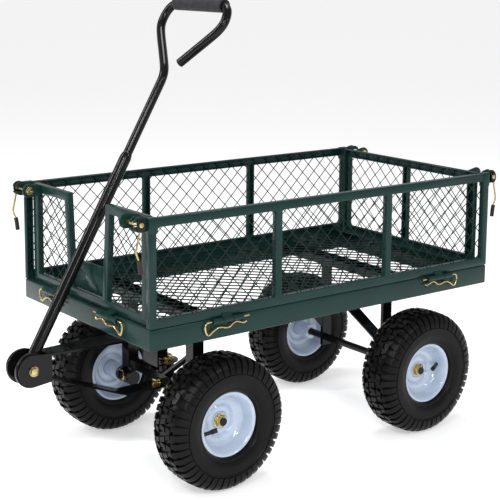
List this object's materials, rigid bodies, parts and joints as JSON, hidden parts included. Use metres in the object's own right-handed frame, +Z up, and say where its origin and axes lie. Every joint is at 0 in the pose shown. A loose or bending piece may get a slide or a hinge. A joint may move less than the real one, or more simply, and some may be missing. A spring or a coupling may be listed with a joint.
{
  "type": "garden cart",
  "caption": "Steel garden cart: mesh-sided bed with fold-down panels, pneumatic wheels, steered front axle and a pull handle with loop grip",
  "frame": {"origin": "on the floor under the middle of the cart's overall box", "axes": "-X is the front of the cart with the pull handle, +Y is its right-hand side, +Z is up"},
  "size_m": [1.0445, 0.4916, 0.9172],
  "materials": {
    "green_powder_coat": "satin dark green powder coat",
    "black_powder_coat": "gloss black powder coat",
    "tyre_rubber": "moulded black rubber",
    "rim_enamel": "glossy pale blue-white enamel",
    "yellow_zinc": "yellow zinc plated steel",
    "grip_foam": "matte dark grey foam rubber"
  },
  "bodies": {
    "chassis": {"bed_tray": "green_powder_coat", "bed_floor": "green_powder_coat", "front_cross_member": "black_powder_coat", "rear_cross_member": "black_powder_coat", "front_axle_frame": "black_powder_coat", "rear_leg_left": "black_powder_coat", "rear_leg_right": "black_powder_coat", "rear_axle": "black_powder_coat", "axle_nut_rear_left": "yellow_zinc", "axle_nut_rear_right": "yellow_zinc"},
    "tongue": {"tongue_clevis": "black_powder_coat", "tongue_top_bar": "black_powder_coat", "tongue_lower_bar": "black_powder_coat", "king_bolt": "yellow_zinc", "handle_pivot_bolt": "yellow_zinc"},
    "handle": {"handle_pivot_drum": "black_powder_coat", "handle_lower_tube": "black_powder_coat", "handle_upper_tube": "black_powder_coat", "handle_grip": "grip_foam"},
    "knuckle_left": {"steering_knuckle_left": "black_powder_coat", "axle_nut_front_left": "yellow_zinc"},
    "tie_rod_left": {"tie_rod_left": "black_powder_coat"},
    "knuckle_right": {"steering_knuckle_right": "black_powder_coat", "axle_nut_front_right": "yellow_zinc"},
    "tie_rod_right": {"tie_rod_right": "black_powder_coat"},
    "wheel_front_left": {"tyre_front_left": "tyre_rubber", "rim_front_left": "rim_enamel"},
    "wheel_front_right": {"tyre_front_right": "tyre_rubber", "rim_front_right": "rim_enamel"},
    "wheel_rear_left": {"tyre_rear_left": "tyre_rubber", "rim_rear_left": "rim_enamel"},
    "wheel_rear_right": {"tyre_rear_right": "tyre_rubber", "rim_rear_right": "rim_enamel"},
    "left_panel": {"left_panel_frame": "green_powder_coat", "left_panel_mesh": "green_powder_coat"},
    "right_panel": {"right_panel_frame": "green_powder_coat", "right_panel_mesh": "green_powder_coat"},
    "front_panel": {"front_panel_frame": "green_powder_coat", "front_panel_mesh_left": "green_powder_coat", "front_panel_mesh_right": "green_powder_coat", "front_notch_plate": "green_powder_coat", "latch_bolt_front_left": "yellow_zinc", "latch_bolt_front_right": "yellow_zinc"},
    "rear_panel": {"rear_panel_frame": "green_powder_coat", "rear_panel_mesh": "green_powder_coat", "latch_bolt_rear_left": "yellow_zinc", "latch_bolt_rear_right": "yellow_zinc"},
    "lever_front_left": {"latch_lever_front_left": "yellow_zinc"},
    "lever_front_right": {"latch_lever_front_right": "yellow_zinc"},
    "lever_rear_left": {"latch_lever_rear_left": "yellow_zinc"},
    "lever_rear_right": {"latch_lever_rear_right": "yellow_zinc"},
    "left_clip_1": {"left_clip_1": "yellow_zinc"},
    "left_clip_2": {"left_clip_2": "yellow_zinc"},
    "right_clip_1": {"right_clip_1": "yellow_zinc"},
    "right_clip_2": {"right_clip_2": "yellow_zinc"},
    "front_clip_1": {"front_clip_1": "yellow_zinc"},
    "front_clip_2": {"front_clip_2": "yellow_zinc"},
    "rear_clip_1": {"rear_clip_1": "yellow_zinc"},
    "rear_clip_2": {"rear_clip_2": "yellow_zinc"}
  },
  "joints": [
    {"name": "tongue_steer", "type": "hinge", "parent": "chassis", "child": "tongue", "pos_m": [-0.1812, 0, 0.2], "axis": [0, 0, 1], "range_deg": [-15, 15]},
    {"name": "handle_tilt", "type": "hinge", "parent": "tongue", "child": "handle", "pos_m": [-0.4917, 0, 0.237], "axis": [0, -1, 0], "range_deg": [0, 118]},
    {"name": "knuckle_steer_left", "type": "hinge", "parent": "chassis", "child": "knuckle_left", "pos_m": [-0.1932, -0.117, 0.13], "axis": [0, 0, 1], "range_deg": [-15, 15]},
    {"name": "tie_swing_left", "type": "hinge", "parent": "tongue", "child": "tie_rod_left", "pos_m": [-0.1362, -0.02, 0.141], "axis": [0, 0, 1], "range_deg": [-15, 15]},
    {"name": "knuckle_steer_right", "type": "hinge", "parent": "chassis", "child": "knuckle_right", "pos_m": [-0.1932, 0.117, 0.13], "axis": [0, 0, 1], "range_deg": [-15, 15]},
    {"name": "tie_swing_right", "type": "hinge", "parent": "tongue", "child": "tie_rod_right", "pos_m": [-0.1362, 0.02, 0.141], "axis": [0, 0, 1], "range_deg": [-15, 15]},
    {"name": "wheel_spin_front_left", "type": "hinge", "parent": "knuckle_left", "child": "wheel_front_left", "pos_m": [-0.1932, -0.198, 0.13], "axis": [0, 1, 0], "continuous": true},
    {"name": "wheel_spin_front_right", "type": "hinge", "parent": "knuckle_right", "child": "wheel_front_right", "pos_m": [-0.1932, 0.198, 0.13], "axis": [0, 1, 0], "continuous": true},
    {"name": "wheel_spin_rear_left", "type": "hinge", "parent": "chassis", "child": "wheel_rear_left", "pos_m": [0.3278, -0.198, 0.13], "axis": [0, 1, 0], "continuous": true},
    {"name": "wheel_spin_rear_right", "type": "hinge", "parent": "chassis", "child": "wheel_rear_right", "pos_m": [0.3278, 0.198, 0.13], "axis": [0, 1, 0], "continuous": true},
    {"name": "left_panel_fold", "type": "hinge", "parent": "chassis", "child": "left_panel", "pos_m": [0.0606, -0.2406, 0.339], "axis": [1, 0, 0], "range_deg": [0, 170]},
    {"name": "right_panel_fold", "type": "hinge", "parent": "chassis", "child": "right_panel", "pos_m": [0.0606, 0.2406, 0.339], "axis": [-1, 0, 0], "range_deg": [0, 170]},
    {"name": "front_panel_fold", "type": "hinge", "parent": "chassis", "child": "front_panel", "pos_m": [-0.3768, 0, 0.339], "axis": [0, -1, 0], "range_deg": [0, 10]},
    {"name": "rear_panel_fold", "type": "hinge", "parent": "chassis", "child": "rear_panel", "pos_m": [0.498, 0, 0.339], "axis": [0, 1, 0], "range_deg": [0, 170]},
    {"name": "lever_swing_front_left", "type": "hinge", "parent": "left_panel", "child": "lever_front_left", "pos_m": [-0.3866, -0.2315, 0.535], "axis": [0, 1, 0], "range_deg": [0, 110]},
    {"name": "lever_swing_front_right", "type": "hinge", "parent": "right_panel", "child": "lever_front_right", "pos_m": [-0.3866, 0.2315, 0.535], "axis": [0, 1, 0], "range_deg": [0, 110]},
    {"name": "lever_swing_rear_left", "type": "hinge", "parent": "left_panel", "child": "lever_rear_left", "pos_m": [0.5078, -0.2315, 0.535], "axis": [0, -1, 0], "range_deg": [0, 110]},
    {"name": "lever_swing_rear_right", "type": "hinge", "parent": "right_panel", "child": "lever_rear_right", "pos_m": [0.5078, 0.2315, 0.535], "axis": [0, -1, 0], "range_deg": [0, 110]},
    {"name": "left_clip_1_pull", "type": "slide", "parent": "chassis", "child": "left_clip_1", "axis": [-1, 0, 0], "range_m": [0, 0.09]},
    {"name": "left_clip_2_pull", "type": "slide", "parent": "chassis", "child": "left_clip_2", "axis": [1, 0, 0], "range_m": [0, 0.09]},
    {"name": "right_clip_1_pull", "type": "slide", "parent": "chassis", "child": "right_clip_1", "axis": [-1, 0, 0], "range_m": [0, 0.09]},
    {"name": "right_clip_2_pull", "type": "slide", "parent": "chassis", "child": "right_clip_2", "axis": [1, 0, 0], "range_m": [0, 0.09]},
    {"name": "front_clip_1_pull", "type": "slide", "parent": "chassis", "child": "front_clip_1", "axis": [0, -1, 0], "range_m": [0, 0.09]},
    {"name": "front_clip_2_pull", "type": "slide", "parent": "chassis", "child": "front_clip_2", "axis": [0, 1, 0], "range_m": [0, 0.09]},
    {"name": "rear_clip_1_pull", "type": "slide", "parent": "chassis", "child": "rear_clip_1", "axis": [0, -1, 0], "range_m": [0, 0.09]},
    {"name": "rear_clip_2_pull", "type": "slide", "parent": "chassis", "child": "rear_clip_2", "axis": [0, 1, 0], "range_m": [0, 0.09]}
  ],
  "couplings": [
    {"joint": "knuckle_steer_left", "follows": "tongue_steer", "ratio": 1},
    {"joint": "tie_swing_left", "follows": "tongue_steer", "ratio": -1},
    {"joint": "knuckle_steer_right", "follows": "tongue_steer", "ratio": 1},
    {"joint": "tie_swing_right", "follows": "tongue_steer", "ratio": -1}
  ]
}
